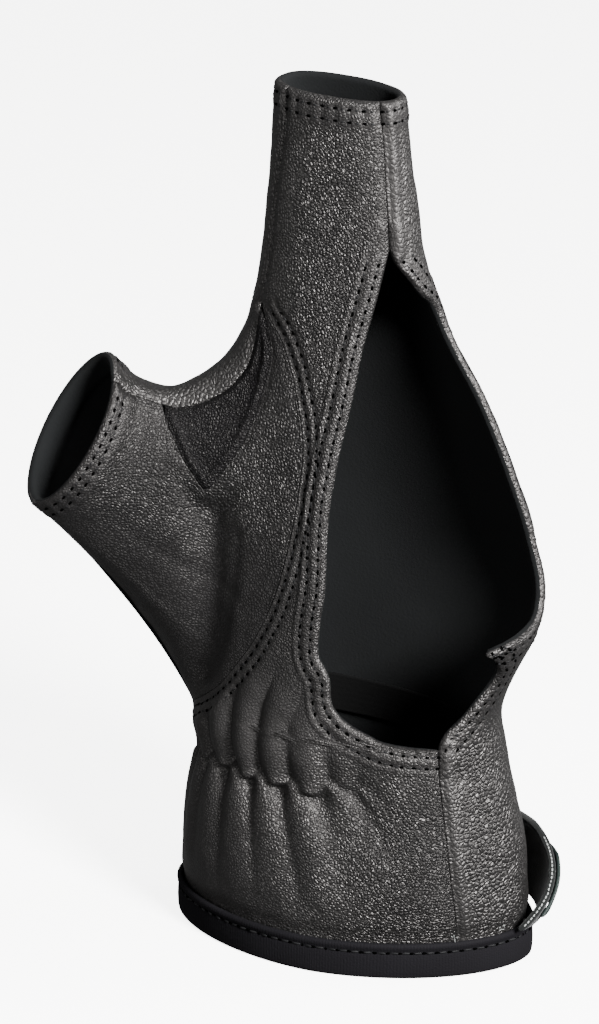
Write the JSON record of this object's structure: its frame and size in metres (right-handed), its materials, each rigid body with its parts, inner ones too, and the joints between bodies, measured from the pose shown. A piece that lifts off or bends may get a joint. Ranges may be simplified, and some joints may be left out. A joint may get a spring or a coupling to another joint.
{
  "type": "archery glove",
  "caption": "Fingerless black leather bow-hand glove with a gathered cuff, an open palm, one finger tube and one thumb tube.",
  "frame": {"origin": "middle of the glove's outline, on the surface that its cuff stands on", "axes": "+Z from the cuff up to the finger's end; the palm faces -Y, the thumb points to -X and the little-finger side is +X"},
  "size_m": [0.109, 0.06, 0.1829],
  "materials": {
    "palm_leather": "pebbled, semi-matte",
    "back_leather": "pebbled, semi-matte",
    "gusset_leather": "pebbled, semi-matte",
    "binding_tape": "ribbed, matte",
    "tab_fabric": "matte",
    "label_patch": "smooth, slightly glossy",
    "elastic_band": "matte"
  },
  "bodies": {
    "root": {"palm_panel": "palm_leather", "back_panel": "back_leather", "thumb_panel": "palm_leather", "web_gusset": "gusset_leather", "cuff_binding": "binding_tape", "closure_tab": "tab_fabric", "tab_label": "label_patch", "wrist_elastic": "elastic_band"}
  },
  "joints": []
}
